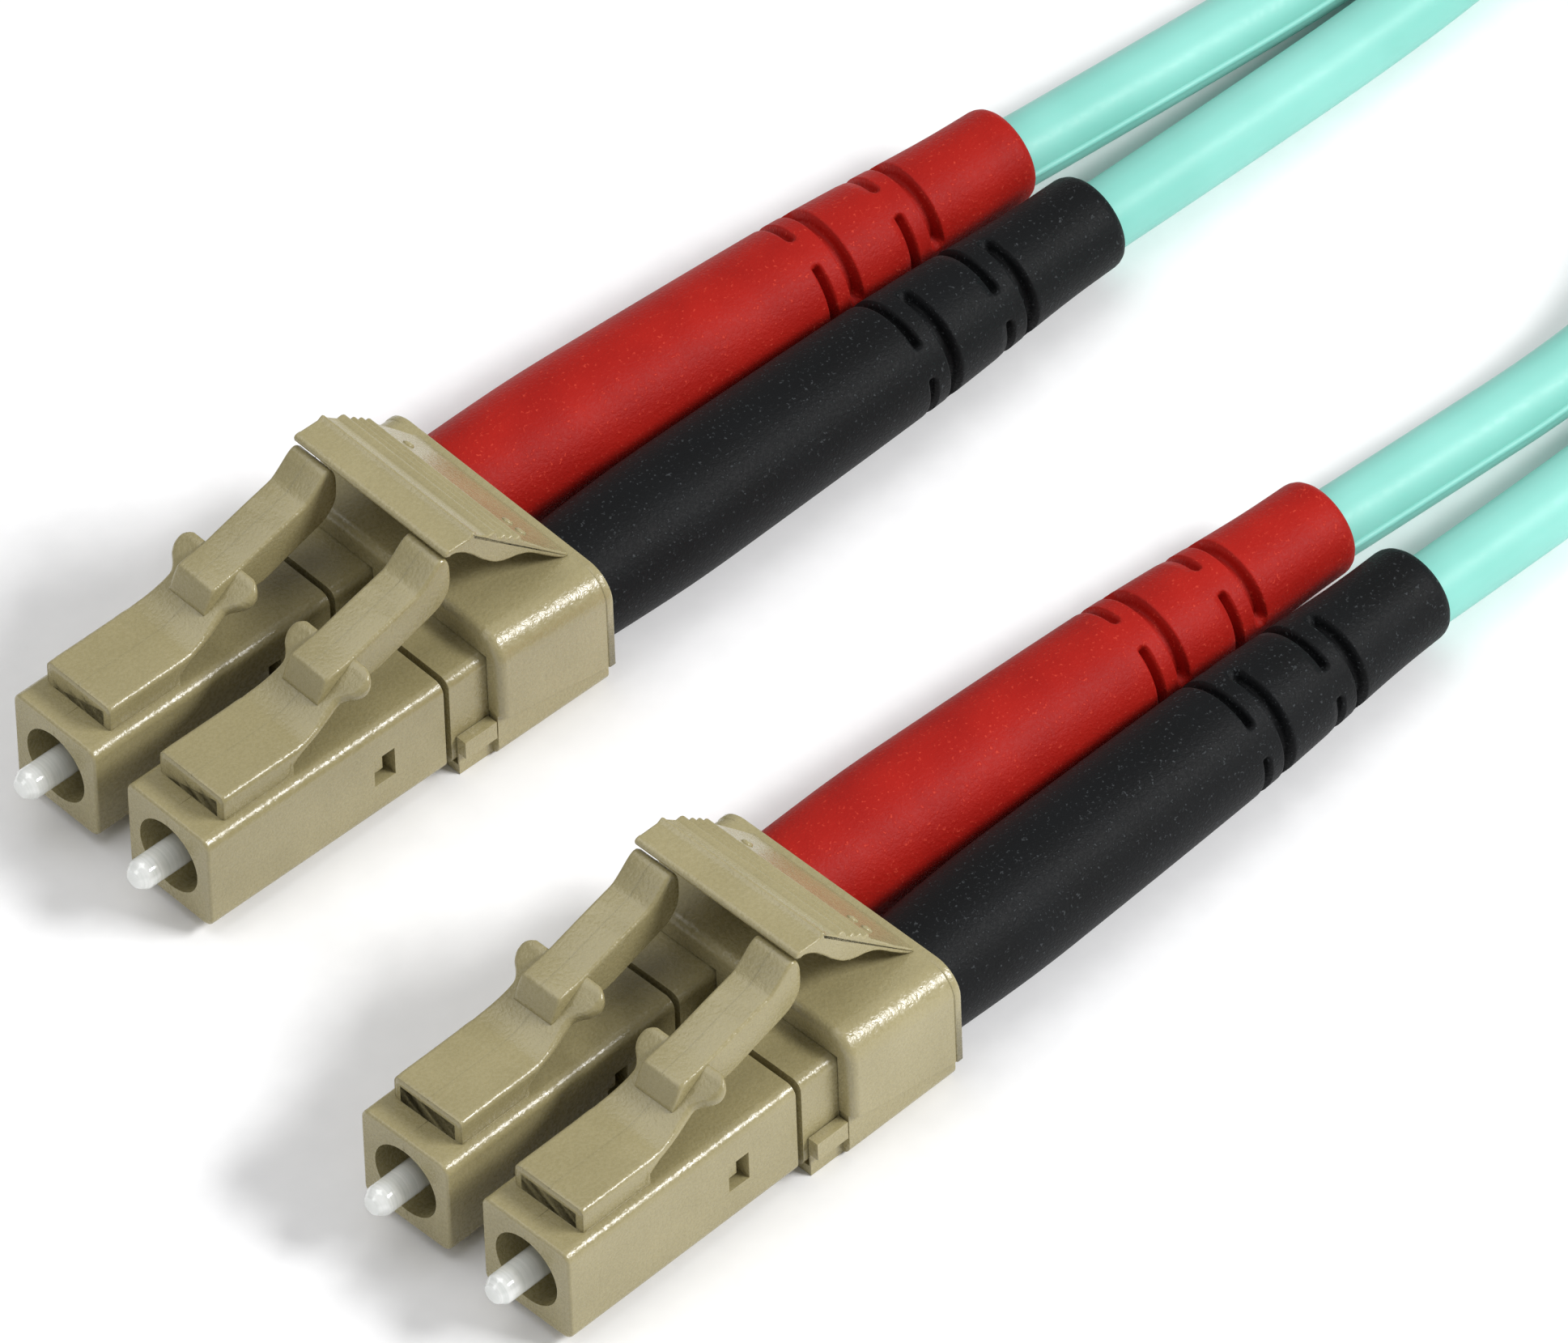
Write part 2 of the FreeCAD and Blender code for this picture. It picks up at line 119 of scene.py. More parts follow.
def ramp(tree, source, stops):
    """A colour ramp from a list of (position, colour)."""
    node = add_node(tree, "ShaderNodeValToRGB", links={"Fac": source})
    elements = node.color_ramp.elements
    while len(elements) < len(stops):
        elements.new(0.5)
    for element, (position, colour) in zip(elements, stops):
        element.position = position
        element.color = colour
    return node.outputs["Color"]


def grey(value):
    return (value, value, value, 1.0)


def base_material(name, **inputs):
    """A material with one Principled shader whose uniform values are set on its own sockets."""
    material = bpy.data.materials.new(name)
    material.use_nodes = True
    tree = material.node_tree
    shader = tree.nodes["Principled BSDF"]
    for key, value in inputs.items():
        shader.inputs[key.replace("_", " ")].default_value = value
    place = add_node(tree, "ShaderNodeTexCoord").outputs["Object"]
    return material, tree, shader, place


def noise(tree, place, size_mm, detail=2.0, roughness=0.5):
    """Noise whose blobs are about size_mm across."""
    return add_node(tree, "ShaderNodeTexNoise", inputs={"Scale": 1000.0 / size_mm, "Detail": detail,
                    "Roughness": roughness}, links={"Vector": place}).outputs["Fac"]


def bump(tree, shader, layers):
    """Stack bump layers given as (height output, depth in mm, strength)."""
    last = None
    for height, depth, strength in layers:
        links = {"Height": height}
        if last:
            links["Normal"] = last
        node = add_node(tree, "ShaderNodeBump", inputs={"Distance": depth * MM, "Strength": strength},
                        links=links)
        last = node.outputs["Normal"]
    tree.links.new(last, shader.inputs["Normal"])


def moulded_plastic(name, light, dark, grain_mm, depth):
    """Plastic moulded in a spark-eroded tool: satin, its sparkling grain drawn as coarse as it shows."""
    material, tree, shader, place = base_material(name, IOR=1.6, Specular_IOR_Level=0.5)
    shader.inputs["Subsurface Weight"].default_value = 0.06
    shader.inputs["Subsurface Radius"].default_value = (0.5 * MM, 0.4 * MM, 0.25 * MM)
    shader.inputs["Subsurface Scale"].default_value = 1.0
    cloud = noise(tree, place, 3.5, 3.0)
    fine = noise(tree, place, grain_mm, 2.0, 0.6)
    tone = add_node(tree, "ShaderNodeMixRGB", inputs={"Fac": 0.35}, links={"Color1": cloud, "Color2": fine})
    colour = ramp(tree, tone.outputs["Color"], [(0.30, linear(dark)), (0.70, linear(light))])
    tree.links.new(colour, shader.inputs["Base Color"])
    gloss = ramp(tree, fine, [(0.30, grey(0.20)), (0.70, grey(0.36))])
    tree.links.new(gloss, shader.inputs["Roughness"])
    bump(tree, shader, [(cloud, 0.02, 0.25), (fine, depth, 1.0)])
    return material


def soft_rubber(name, light, dark, fleck, roughness):
    """TPE boot rubber from a blasted mould: matt, with bright pin-prick flecks of grain."""
    material, tree, shader, place = base_material(name, IOR=1.5, Specular_IOR_Level=0.16)
    shader.inputs["Sheen Weight"].default_value = 0.02
    shader.inputs["Sheen Roughness"].default_value = 0.5
    cloud = noise(tree, place, 2.5, 3.0)
    grain = noise(tree, place, 0.14, 2.0, 0.6)
    colour = ramp(tree, cloud, [(0.30, linear(dark)), (0.70, linear(light))])
    flecks = ramp(tree, grain, [(0.62, grey(0.0)), (0.72, grey(1.0))])
    speckled = add_node(tree, "ShaderNodeMixRGB", inputs={"Color2": linear(fleck)},
                        links={"Fac": flecks, "Color1": colour})
    tree.links.new(speckled.outputs["Color"], shader.inputs["Base Color"])
    gloss = ramp(tree, grain, [(0.35, grey(roughness - 0.08)), (0.70, grey(roughness + 0.06))])
    tree.links.new(gloss, shader.inputs["Roughness"])
    bump(tree, shader, [(cloud, 0.03, 0.25), (grain, 0.03, 1.0)])
    return material


def jacket_plastic():
    """Extruded LSZH jacket: smooth and lightly glossy, drawn out lengthwise, a little translucent."""
    material, tree, shader, place = base_material("extruded LSZH jacket, aqua", IOR=1.45,
                                                  Specular_IOR_Level=0.4)
    shader.inputs["Subsurface Weight"].default_value = 0.2
    shader.inputs["Subsurface Radius"].default_value = (0.4 * MM, 0.9 * MM, 0.8 * MM)
    shader.inputs["Subsurface Scale"].default_value = 1.0
    cloud = noise(tree, place, 6.0, 3.0)
    fine = noise(tree, place, 0.25, 2.0)
    colour = ramp(tree, cloud, [(0.30, linear("86CCC0")), (0.70, linear("92D6CB"))])
    tree.links.new(colour, shader.inputs["Base Color"])
    gloss = ramp(tree, fine, [(0.30, grey(0.40)), (0.70, grey(0.50))])
    tree.links.new(gloss, shader.inputs["Roughness"])
    bump(tree, shader, [(cloud, 0.04, 0.2), (fine, 0.002, 0.2)])
    return material


def polished_zirconia():
    """Zirconia ceramic, ground and polished: white, glossy, light bleeding just under the surface."""
    material, tree, shader, place = base_material("polished zirconia", IOR=2.1, Roughness=0.08)
    shader.inputs["Subsurface Weight"].default_value = 0.5
    shader.inputs["Subsurface Radius"].default_value = (0.5 * MM, 0.5 * MM, 0.5 * MM)
    shader.inputs["Subsurface Scale"].default_value = 1.0
    rings = add_node(tree, "ShaderNodeMapping", inputs={"Scale": (30.0, 1.0, 1.0)}, links={"Vector": place})
    ground = noise(tree, rings.outputs["Vector"], 3.0, 3.0)
    colour = ramp(tree, ground, [(0.30, linear("DDE0DC")), (0.70, linear("F1F2EF"))])
    tree.links.new(colour, shader.inputs["Base Color"])
    gloss = ramp(tree, ground, [(0.30, grey(0.06)), (0.70, grey(0.16))])
    tree.links.new(gloss, shader.inputs["Roughness"])
    bump(tree, shader, [(ground, 0.003, 0.3)])
    return material


def metal(name, code, roughness):
    """Turned metal: fine lathe rings round the axis."""
    material, tree, shader, place = base_material(name, Metallic=1.0)
    rings = add_node(tree, "ShaderNodeMapping", inputs={"Scale": (20.0, 1.0, 1.0)}, links={"Vector": place})
    turned = noise(tree, rings.outputs["Vector"], 2.0, 3.0)
    colour = ramp(tree, turned, [(0.3, linear(code)), (0.7, linear("F0EEE8"))])
    tree.links.new(colour, shader.inputs["Base Color"])
    tree.links.new(ramp(tree, turned, [(0.3, grey(roughness)), (0.7, grey(roughness + 0.15))]),
                   shader.inputs["Roughness"])
    bump(tree, shader, [(turned, 0.004, 0.4)])
    return material


def fibrous(name, light, dark, along, strand_mm):
    """Bundled yarn or woven tape: strands drawn out along one direction, rough and sheeny."""
    material, tree, shader, place = base_material(name, Roughness=0.75)
    shader.inputs["Sheen Weight"].default_value = 0.4
    stretch = add_node(tree, "ShaderNodeMapping", inputs={"Scale": along}, links={"Vector": place})
    strands = noise(tree, stretch.outputs["Vector"], strand_mm, 3.0)
    colour = ramp(tree, strands, [(0.35, linear(dark)), (0.65, linear(light))])
    tree.links.new(colour, shader.inputs["Base Color"])
    bump(tree, shader, [(strands, 0.08, 0.8)])
    return material


HOUSING = moulded_plastic("moulded glass-filled PEI, beige", "A0966F", "90865F", 0.15, 0.022)
CLIP = moulded_plastic("moulded PBT clip, beige", "A69C75", "978D66", 0.17, 0.025)
RED = soft_rubber("moulded TPE boot, red", "A81A10", "9A130B", "C03A2A", 0.6)
BLACK = soft_rubber("moulded TPE boot, black", "0B0D0F", "08090A", "3A3D3F", 0.62)
JACKET = jacket_plastic()
ZIRCONIA = polished_zirconia()
FLANGE = metal("turned nickel silver flange", "B9B4A8", 0.22)
SPRING = metal("drawn spring steel", "9A9A9A", 0.25)
CRIMP = metal("drawn aluminium crimp sleeve", "C4C5C4", 0.3)
YARN = fibrous("aramid yarn", "E8C94A", "B8922A", (1.0, 8.0, 8.0), 1.0)
BUFFER = moulded_plastic("extruded 0.9 mm buffer, aqua", "8ADBC7", "7CCDB8", 0.3, 0.002)
TAPE = fibrous("woven hook-and-loop tape, black", "2B2C2E", "0E0F10", (1.0, 6.0, 1.0), 0.6)

NODE_MATERIALS = {
    "ferrule_flange": FLANGE, "ferrule_spring": SPRING, "ferrule": ZIRCONIA, "front_housing": HOUSING,
    "latch": HOUSING, "rear_body": HOUSING, "aramid_yarn": YARN, "crimp_sleeve": CRIMP,
    "buffered_fibre": BUFFER, "clip_shell": CLIP, "clip_base": CLIP, "trigger": CLIP, "coil_tie": TAPE,
}


def set_material(piece, material):
    piece.data.materials.clear()
    piece.data.materials.append(material)


def dress_nodes():
    """Give each CAD node the material of what it is."""
    for name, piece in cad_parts.items():
        if name.startswith("boot_"):
            set_material(piece, RED if name.endswith("red") else BLACK)
        for stem, material in NODE_MATERIALS.items():
            if name.startswith(stem):
                set_material(piece, material)
                break


# ---------------------------------------------------------------- mesh work
def seat(plug, side=0):
    """From millimetres on a channel's axis, or on the plug's own, to metres on the table."""
    (x, y), turn = PLUGS[plug]
    return (Matrix.Translation((x * MM, y * MM, AXIS_HEIGHT * MM))
            @ Matrix.Rotation(math.radians(turn), 4, "Z")
            @ Matrix.Translation((0, side * PITCH / 2 * MM, 0)) @ Matrix.Scale(MM, 4))


def make_piece(name, shape, material, place):
    """Finish a closed shape as a piece whose place is in its mesh."""
    bmesh.ops.recalc_face_normals(shape, faces=shape.faces)
    shape.transform(place)
    mesh = bpy.data.meshes.new(name)
    shape.to_mesh(mesh)
    shape.free()
    mesh.materials.append(material)
    mesh.shade_smooth()
    piece = bpy.data.objects.new(name, mesh)
    bpy.context.scene.collection.objects.link(piece)
    even = piece.modifiers.new("even shading", "WEIGHTED_NORMAL")
    even.keep_sharp = True
    return piece


def through(points, steps=4):
    """A smooth line through the points: Catmull-Rom, with steps pieces to each span."""
    ends = [points[0]] + list(points) + [points[-1]]
    line = []
    for before, a, b, after in zip(ends, ends[1:], ends[2:], ends[3:]):
        for step in range(steps):
            t = step / steps
            line.append(tuple(0.5 * (2 * q + (r - p) * t + (2 * p - 5 * q + 4 * r - o) * t ** 2
                                     + (3 * q - p - 3 * r + o) * t ** 3)
                              for p, q, r, o in zip(before, a, b, after)))
    return line + [tuple(points[-1])]


def between(x, stations):
    """The value at x, by straight lines between (x, value) stations."""
    for (x0, v0), (x1, v1) in zip(stations, stations[1:]):
        if x <= x1:
            return v0 + (v1 - v0) * max(x - x0, 0.0) / (x1 - x0)
    return stations[-1][1]


def slab(shape, outline, half, ease, segments):
    """An x-z outline made solid, half each side of y = 0, with its two rims eased."""
    near = shape.faces.new([shape.verts.new((x, -half, z)) for x, z in outline])
    grown = bmesh.ops.extrude_face_region(shape, geom=[near])["geom"]
    for vert in (part for part in grown if isinstance(part, bmesh.types.BMVert)):
        vert.co.y = half
    far = next(part for part in grown if isinstance(part, bmesh.types.BMFace))
    bmesh.ops.bevel(shape, geom=list(near.edges) + list(far.edges), offset=ease, segments=segments,
                    profile=0.5, affect="EDGES", offset_type="OFFSET", clamp_overlap=False, material=-1)


# Edges sharper than this many degrees are eased
EASED_ABOVE = 28.0


def stand_in(node, ending):
    """A new piece with a node's own shape and material."""
    shape = bmesh.new()
    shape.from_mesh(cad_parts[node].data)
    bmesh.ops.remove_doubles(shape, verts=shape.verts, dist=0.001 * MM)
    bmesh.ops.dissolve_limit(shape, angle_limit=math.radians(1.0), verts=shape.verts, edges=shape.edges)
    mesh = bpy.data.meshes.new(node + ending)
    shape.to_mesh(mesh)
    shape.free()
    mesh.materials.append(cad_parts[node].data.materials[0])
    mesh.shade_smooth()
    piece = bpy.data.objects.new(node + ending, mesh)
    bpy.context.scene.collection.objects.link(piece)
    return piece


def eased_copy(node, body, width_mm):
    """Stand in for a node with the same shape, its sharp edges eased as moulded edges are."""
    piece = stand_in(node, "_eased")
    bevel = piece.modifiers.new("eased edges", "BEVEL")
    bevel.width = width_mm * MM
    bevel.segments = 3
    bevel.limit_method = "ANGLE"
    bevel.angle_limit = math.radians(EASED_ABOVE)
    even = piece.modifiers.new("even shading", "WEIGHTED_NORMAL")
    even.keep_sharp = True
    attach(piece, body)
    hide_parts(node)


# ---------------------------------------------------------------- pieces of a channel
CORNER_STEPS = 4
NECK_CORNER = 0.24
ARM_CORNER = 0.16

# A parting line: half its width, how far it stands up, and how deep it is rooted
SEAM_HALF = 0.045
SEAM_RISE = 0.022
SEAM_ROOT = 0.05

# Sections along the latch: (x, z) of the upper side, (x, z) of the under side, half the width
NECK = [(1.25, 3.16, 1.25, 2.1, 1.62), (1.31, 3.30, 1.30, 2.1, 1.71), (1.46, 3.37, 1.44, 2.1, 1.76),
        (3.0, 3.37, 3.0, 2.1, 1.76), (4.38, 3.37, 4.36, 2.1, 1.76), (4.75, 3.38, 4.52, 2.42, 1.76),
        (5.05, 3.38, 4.85, 2.70, 1.76), (5.4, 3.40, 5.35, 2.94, 1.72), (6.0, 3.56, 6.22, 3.22, 1.62),
        (6.6, 3.85, 6.85, 3.45, 1.52), (7.0, 4.07, 7.22, 3.63, 1.48), (7.2, 4.19, 7.42, 3.73, 1.53),
        (7.4, 4.32, 7.60, 3.82, 1.70), (7.6, 4.46, 7.80, 3.94, 1.95), (7.85, 4.63, 8.02, 4.06, 2.10),
        (8.05, 4.76, 8.20, 4.18, 2.13), (8.25, 4.90, 8.36, 4.32, 2.08), (8.42, 4.98, 8.47, 4.44, 1.94),
        (8.52, 5.0, 8.54, 4.56, 1.78)]
ARM = [(6.62, 3.98, 6.64, 3.72, 0.97), (6.86, 4.42, 6.95, 3.70, 1.0), (7.05, 4.76, 7.25, 3.68, 1.0),
       (7.16, 4.87, 7.5, 3.68, 1.0), (7.42, 4.93, 8.0, 3.66, 1.0), (8.4, 5.10, 8.8, 3.60, 1.0),
       (9.2, 5.33, 9.6, 3.60, 1.0), (10.2, 5.62, 10.7, 3.94, 1.0), (11.3, 5.92, 11.8, 4.30, 1.0),
       (11.75, 6.06, 12.3, 4.46, 1.0), (12.15, 6.38, 12.7, 4.64, 1.0), (12.55, 6.76, 13.0, 4.92, 1.0),
       (12.8, 6.93, 13.2, 5.3, 1.0), (13.0, 6.95, 13.26, 5.8, 1.0), (13.16, 6.84, 13.28, 6.3, 0.97)]


def skin(shape, rings):
    """Bridge closed rings of points one to the next, and close both ends."""
    loops = []
    for points in rings:
        verts = [shape.verts.new(point) for point in points]
        loops.append([shape.edges.new(pair) for pair in zip(verts, verts[1:] + verts[:1])])
    for loop, following in zip(loops, loops[1:]):
        bmesh.ops.bridge_loops(shape, edges=loop + following)
    for end in (loops[0], loops[-1]):
        bmesh.ops.contextual_create(shape, geom=end)


def loft(shape, sections, corner):
    """Skin rounded oblong sections, each across y between an under point and an upper point."""
    rings = []
    for x_up, z_up, x_low, z_low, half in through(sections):
        tall = math.hypot(x_up - x_low, z_up - z_low)
        reach = min(corner, 0.45 * tall)
        ring = []
        for quarter in range(4):
            middle_y = (half - reach) * (1 if quarter in (0, 3) else -1)
            middle = tall - reach if quarter in (0, 1) else reach
            for step in range(CORNER_STEPS + 1):
                angle = math.radians(90 * (quarter + step / CORNER_STEPS))
                share = (middle + reach * math.sin(angle)) / tall
                ring.append((x_low + (x_up - x_low) * share, middle_y + reach * math.cos(angle),
                             z_low + (z_up - z_low) * share))
        rings.append(ring)
    skin(shape, rings)


def ridge(shape, line):
    """A fine parting line: a low three-sided rib along an x-z line at y = 0."""
    after_last = tuple(2 * end - before for end, before in zip(line[-1], line[-2]))
    rings = []
    for (x, z), (x_next, z_next) in zip(line, line[1:] + [after_last]):
        along = math.hypot(x_next - x, z_next - z)
        out_x, out_z = -(z_next - z) / along, (x_next - x) / along
        foot_x, foot_z = x - SEAM_ROOT * out_x, z - SEAM_ROOT * out_z
        rings.append([(foot_x, -SEAM_HALF, foot_z), (x + SEAM_RISE * out_x, 0, z + SEAM_RISE * out_z),
                      (foot_x, SEAM_HALF, foot_z)])
    skin(shape, rings)


def latch(tag, plug, side):
    """The latch with its block: one moulding that sweeps up from the housing to a straight arm and a tip."""
    shape = bmesh.new()
    loft(shape, NECK, NECK_CORNER)
    loft(shape, ARM, ARM_CORNER)
    ridge(shape, [(x, z) for x, z, *rest in through(NECK[1:11])])
    ridge(shape, [(x, z) for x, z, *rest in through(ARM[3:])])
    piece = make_piece("latch_" + tag + "_moulding", shape, HOUSING, seat(plug, side))
    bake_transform(piece)
    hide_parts("latch_" + tag)


def housing_seam(tag, plug, side):
    """The fine parting line down the middle of the housing's face, and over its top edge to the block."""
    shape = bmesh.new()
    ridge(shape, [(0.0, 1.62), (0.0, 1.80), (0.06, 2.08), (0.18, 2.20), (0.42, 2.25), (1.3, 2.25)])
    ridge(shape, [(0.18, -2.20), (0.06, -2.08), (0.0, -1.80), (0.0, -1.62)])
    piece = make_piece("housing_seam_" + tag, shape, HOUSING, seat(plug, side))
    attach(piece, "root")


def ferrule(tag, plug, side):
    """The zirconia ferrule, with the rounded tip that it is ground to."""
    shape = bmesh.new()
    profile = [(-1.75, 0.0), (-1.75, 0.34), (-1.745, 0.37), (-1.72, 0.40), (-1.47, 0.57), (-1.42, 0.60),
               (-1.35, 0.618), (-1.26, 0.625), (2.75, 0.625), (2.75, 0.0)]
    turn_round(shape, profile, 64)
    piece = make_piece("ferrule_" + tag + "_ground", shape, ZIRCONIA, seat(plug, side))
    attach(piece, "ferrule_assembly_" + tag)
    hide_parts("ferrule_" + tag)


def spring(tag):
    """The ferrule's spring: a copy of its node, with its place baked into the mesh."""
    node = "ferrule_spring_" + tag
    piece = stand_in(node, "_wound")
    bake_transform(piece)
    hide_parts(node)


def turn_round(shape, profile, steps):
    """Spin an x-radius profile round the X axis."""
    verts = [shape.verts.new((x, 0, r)) for x, r in profile]
    edges = [shape.edges.new(pair) for pair in zip(verts, verts[1:])]
    bmesh.ops.spin(shape, geom=verts + edges, axis=(1, 0, 0), cent=(0, 0, 0), angle=2 * math.pi, steps=steps,
                   use_merge=True)
    bmesh.ops.remove_doubles(shape, verts=shape.verts, dist=0.0001)


def slot_depth(x, turned, radius, ring, turn):
    """How deep a slot is at a point of the boot: a rounded trench with soft lips."""
    centre, width, quarter = ring
    deepest = 0.0
    for middle in (turn + 90 + quarter, turn - 90 + quarter):
        away = abs((turned - middle + 180) % 360 - 180)
        beyond = math.radians(max(away - SLOT_SPAN / 2, -90)) * radius + width / 2
        inside = width / 2 - math.hypot(max(beyond, 0.0), x - centre)
        share = min(max(inside / 0.13, 0.0), 1.0)
        deepest = max(deepest, share * share * (3 - 2 * share))
    return SLOT_DEPTH * deepest


def boot(tag, plug, side_name):
    """The soft boot: a long taper with two pairs of slot rings, a plain collar and a rolled end."""
    side = SIDES[side_name]
    line = through(BOOT_OUTLINE, 6)
    stations = [0.0]
    while stations[-1] < BOOT_PLAIN_END:
        near_slot = any(abs(stations[-1] - ring[0]) < ring[1] / 2 + 0.25 for ring in SLOT_RINGS)
        stations.append(min(stations[-1] + (0.065 if near_slot else 0.3), BOOT_PLAIN_END))
    profile = [(0.0, 1.9)] + [(x, between(x, line)) for x in stations]
    profile += BOOT_MOUTH
    shape = bmesh.new()
    turn_round(shape, profile, 144)
    for vert in shape.verts:
        radius = math.hypot(vert.co.y, vert.co.z)
        if radius > 1.95 and 16 < vert.co.x < 23:
            turned = math.degrees(math.atan2(-vert.co.y, vert.co.z))
            depth = max(slot_depth(vert.co.x, turned, radius, ring, SLOT_TURN[side_name])
                        for ring in SLOT_RINGS)
            vert.co.y *= 1 - depth / radius
            vert.co.z *= 1 - depth / radius
    aim = (Matrix.Translation((BOOT_FRONT, 0, 0)) @ Matrix.Rotation(math.radians(BOOT_TILT * side), 4, "Z")
           @ Matrix.Rotation(math.radians(BOOT_DROP), 4, "Y"))
    piece = make_piece("boot_" + tag + "_moulding", shape, RED if side_name == "red" else BLACK,
                       seat(plug, side) @ aim)
    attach(piece, "root")
    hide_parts("boot_" + tag)


# ---------------------------------------------------------------- pieces of a plug
TRIGGER_HALF = 4.2
TRIGGER_TOP = [(13.28, 7.33), (14.39, 7.29), (14.70, 7.12), (15.44, 6.49), (16.52, 5.62), (17.86, 4.16),
               (18.7, 3.30)]
TRIGGER_RIDGES = [(14.36, 0.16, 0.16), (15.36, 0.20, 0.22), (15.88, 0.13, 0.12), (16.24, 0.13, 0.12),
                  (16.60, 0.13, 0.12)]
TRIGGER_UNDER = [(18.92, 2.98), (18.62, 3.06), (17.26, 4.28), (16.68, 4.66), (15.8, 5.00), (15.38, 5.18),
                 (14.92, 5.62), (14.4, 6.25), (13.96, 6.70), (13.5, 7.0), (13.10, 7.06)]


def trigger(plug):
    """The push plate over both latches: a rolled lip, ridges for the thumb and a thin root."""
    top = []
    corners = TRIGGER_TOP[1:-1]
    for x, height, width in TRIGGER_RIDGES:
        while corners and corners[0][0] < x - width:
            top.append(corners.pop(0))
        corners = [corner for corner in corners if corner[0] > x + width]
        for offset, share in ((-1.0, 0.0), (-0.4, 0.8), (0.0, 1.0), (0.4, 0.8), (1.0, 0.0)):
            top.append((x + offset * width + 0.6 * height * share, between(x + offset * width, TRIGGER_TOP)
                        + 0.8 * height * share))
    top += corners + [(18.7, 3.30), (18.92, 3.12)]
    lip = [(13.02, 7.12), (13.02, 7.22), (13.08, 7.31), (13.2, 7.35), (13.32, 7.35), (13.38, 7.32)]
    shape = bmesh.new()
    slab(shape, lip + top + through(TRIGGER_UNDER, 3), TRIGGER_HALF, 0.09, 2)
    for count, y in ((1, 2.9), (2, -2.9)):
        for place in range(count):
            dot = bmesh.ops.create_uvsphere(shape, u_segments=20, v_segments=10, radius=0.24)["verts"]
            across = y + 0.36 * (2 * place - count + 1)
            lay = (Matrix.Translation((17.45, across, between(17.45, TRIGGER_TOP) + 0.01))
                   @ Matrix.Rotation(math.radians(48), 4, "Y") @ Matrix.Diagonal((1, 1, 0.45, 1)))
            bmesh.ops.transform(shape, matrix=lay, verts=dot)
    piece = make_piece("trigger_" + plug + "_moulding", shape, CLIP, seat(plug))
    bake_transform(piece)
    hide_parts("trigger_" + plug)


# The plate at the clip's rear: its front, thickness, half width, top, bottom and top corners
RIM_FRONT = 18.96
RIM_THICK = 0.33
RIM_HALF = 6.19
RIM_TOP = 2.98
RIM_LOW = -1.55
RIM_CORNER = 1.2


def clip_rim(plug):
    """The thin plate that stands a little proud all round the clip's rear edge."""
    shape = bmesh.new()
    arc = [(RIM_HALF - RIM_CORNER + RIM_CORNER * math.sin(math.radians(a)),
            RIM_TOP - RIM_CORNER + RIM_CORNER * math.cos(math.radians(a))) for a in range(0, 91, 10)]
    half_loop = arc + [(RIM_HALF, RIM_LOW)]
    loop = half_loop + [(-y, z) for y, z in reversed(half_loop)]
    rim = [shape.verts.new((RIM_FRONT, y, z)) for y, z in loop]
    face = shape.faces.new(rim)
    grown = bmesh.ops.extrude_face_region(shape, geom=[face])["geom"]
    bmesh.ops.translate(shape, vec=(RIM_THICK, 0, 0),
                        verts=[p for p in grown if isinstance(p, bmesh.types.BMVert)])
    ends = [f for f in shape.faces if abs(f.normal.x) > 0.9]
    edges = {edge for end in ends for edge in end.edges}
    bmesh.ops.bevel(shape, geom=list(edges), offset=0.05, segments=2, profile=0.5, affect="EDGES",
                    offset_type="OFFSET", clamp_overlap=False, material=-1)
    piece = make_piece("clip_rim_" + plug, shape, CLIP, seat(plug))
    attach(piece, "root")


# ---------------------------------------------------------------- the cord
def smooth(value):
    """Ease from 0 to 1."""
    share = min(max(value, 0.0), 1.0)
    return share * share * (3 - 2 * share)


def coil_points(outer_first):
    """Control points of one leg's turns: in and out twice, a layer up each time, changing lanes inside."""
    turns_each = COIL_TURNS / LAYERS
    count = round(COIL_TURNS * POINTS_PER_TURN)
    points = []
    for step in range(count + 1):
        done = COIL_TURNS * step / count
        layer = min(int(done / turns_each), LAYERS - 1)
        into = done - layer * turns_each
        depth = turns_each - into if layer % 2 else into
        lane = LANE if outer_first else -LANE
        height = LAYER_BASE
        for change in range(1, LAYERS):
            beyond = done - change * turns_each
            late = 0.0
            if change % 2:
                late = CHANGE_TURNS / 2 if (change == 1) == outer_first else -CHANGE_TURNS / 2
                lane *= 1 - 2 * smooth(beyond / CHANGE_TURNS + 0.5)
            height += LAYER_STEP * smooth((beyond - late) / CHANGE_TURNS + 0.5)
        radius = COIL_RADIUS - ZIP_STEP * depth + lane
        angle = math.radians(COIL_ENTRY - 360.0 * done)
        points.append((COIL_CENTRE[0] + radius * math.cos(angle), COIL_CENTRE[1] + radius * math.sin(angle),
                       height))
    return points


def cord_curve(name, points, radius_mm):
    """One round cord on a smooth spline through the given control points."""
    curve = bpy.data.curves.new(name, "CURVE")
    curve.dimensions = "3D"
    curve.bevel_depth = radius_mm * MM
    curve.bevel_resolution = 8
    curve.resolution_u = 10
    curve.use_fill_caps = True
    spline = curve.splines.new("NURBS")
    spline.points.add(len(points) - 1)
    for point, (x, y, z) in zip(spline.points, points):
        point.co = (x * MM, y * MM, z * MM, 1.0)
    spline.order_u = 3
    spline.use_endpoint_u = True
    piece = bpy.data.objects.new(name, curve)
    bpy.context.scene.collection.objects.link(piece)
    return piece


def make_cords():
    for key, leg in LEGS.items():
        points = leg["start"] + coil_points(leg["outer_first"]) + leg["end"][::-1]
        cord = cord_curve("cord_leg_" + key, points, LEG_DIAMETER / 2)
        cord.data.materials.append(JACKET)
        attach(cord, "root")
        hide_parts("leg_" + key + "_start", "leg_" + key + "_end", "cord_coil")
        route = [(x, y - LEG_DIAMETER / 2, z + 0.1) for x, y, z in leg[leg["web"]][:4]]
        web = cord_curve("split_web_" + key, route, 0.14)
        web.data.materials.append(JACKET)
        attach(web, "root")


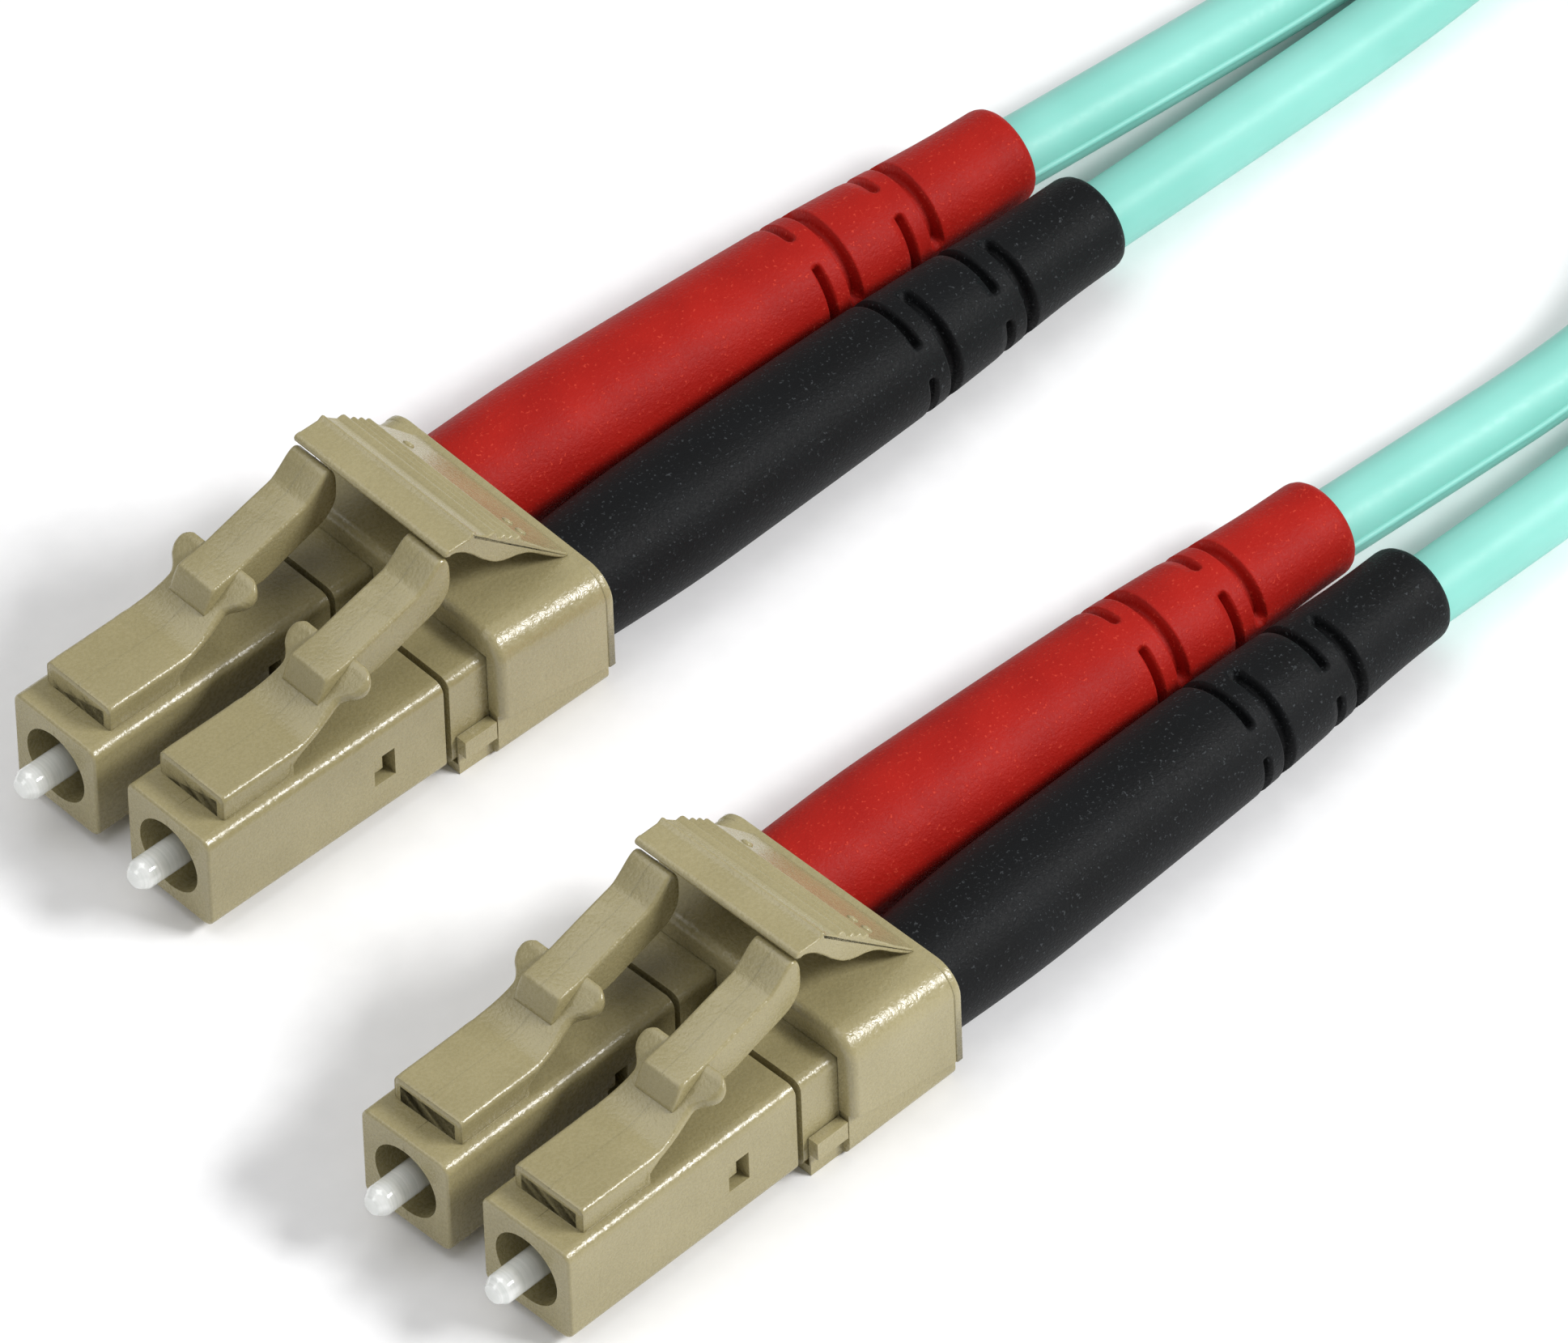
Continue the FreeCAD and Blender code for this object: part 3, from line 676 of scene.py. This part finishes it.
# ---------------------------------------------------------------- studio
def add_light(name, direction, distance, size, power, aim):
    lamp = bpy.data.lights.new(name, "AREA")
    lamp.shape = "RECTANGLE"
    lamp.size, lamp.size_y = size
    lamp.energy = power
    holder = bpy.data.objects.new(name, lamp)
    bpy.context.scene.collection.objects.link(holder)
    towards = Vector(direction).normalized()
    holder.location = Vector(aim) + towards * distance
    holder.rotation_euler = towards.to_track_quat("Z", "Y").to_euler()


def studio():
    """A pale table, soft light from above and from the near right, and a long-lens camera."""
    bpy.ops.mesh.primitive_plane_add(size=4.0, location=(0, 0, -0.00002))
    table = bpy.context.object
    table.name = "table"
    material, tree, shader, place = base_material("matt white card", Roughness=0.9)
    tooth = noise(tree, place, 1.2, 4.0)
    colour = ramp(tree, tooth, [(0.3, linear("F8F8F9")), (0.7, linear("FCFCFD"))])
    tree.links.new(colour, shader.inputs["Base Color"])
    bump(tree, shader, [(tooth, 0.03, 0.15)])
    set_material(table, material)
    world = bpy.data.worlds.new("studio")
    world.use_nodes = True
    world.node_tree.nodes["Background"].inputs["Color"].default_value = (1.0, 1.0, 1.0, 1.0)
    world.node_tree.nodes["Background"].inputs["Strength"].default_value = 0.34
    bpy.context.scene.world = world
    aim = (0.0, 0.0, 0.0)
    add_light("near right softbox", (0.448, -0.62, 0.65), 0.5, (0.20, 0.09), 2.1, aim)
    add_light("overhead softbox", (-0.2, 0.25, 1.0), 0.6, (0.5, 0.5), 1.2, aim)
    add_light("left fill", (-0.9, 0.2, 0.5), 0.6, (0.3, 0.3), 0.4, aim)

    lens = bpy.data.cameras.new("long lens")
    lens.sensor_width = 36.0
    lens.lens = LENS
    lens.clip_end = 10.0
    camera = bpy.data.objects.new("camera", lens)
    bpy.context.scene.collection.objects.link(camera)
    azimuth, elevation, roll = (math.radians(v) for v in CAMERA_ANGLES)
    back = Vector((math.sin(azimuth) * math.cos(elevation), -math.cos(azimuth) * math.cos(elevation),
                   math.sin(elevation)))
    turn = back.to_track_quat("Z", "Y").to_matrix().to_4x4() @ Matrix.Rotation(roll, 4, "Z")
    camera.matrix_world = Matrix.Translation(Vector(CAMERA_PLACE) * MM) @ turn
    bpy.context.scene.camera = camera
    bpy.context.scene.view_settings.view_transform = "Standard"


dress_nodes()
for plug in PLUGS:
    for side_name, side in SIDES.items():
        tag = plug + "_" + side_name
        eased_copy("front_housing_" + tag, "root", 0.06)
        eased_copy("rear_body_" + tag, "root", 0.06)
        latch(tag, plug, side)
        housing_seam(tag, plug, side)
        ferrule(tag, plug, side)
        spring(tag)
        boot(tag, plug, side_name)
    eased_copy("clip_shell_" + plug, "root", 0.16)
    eased_copy("clip_base_" + plug, "root", 0.10)
    trigger(plug)
    clip_rim(plug)
make_cords()
studio()
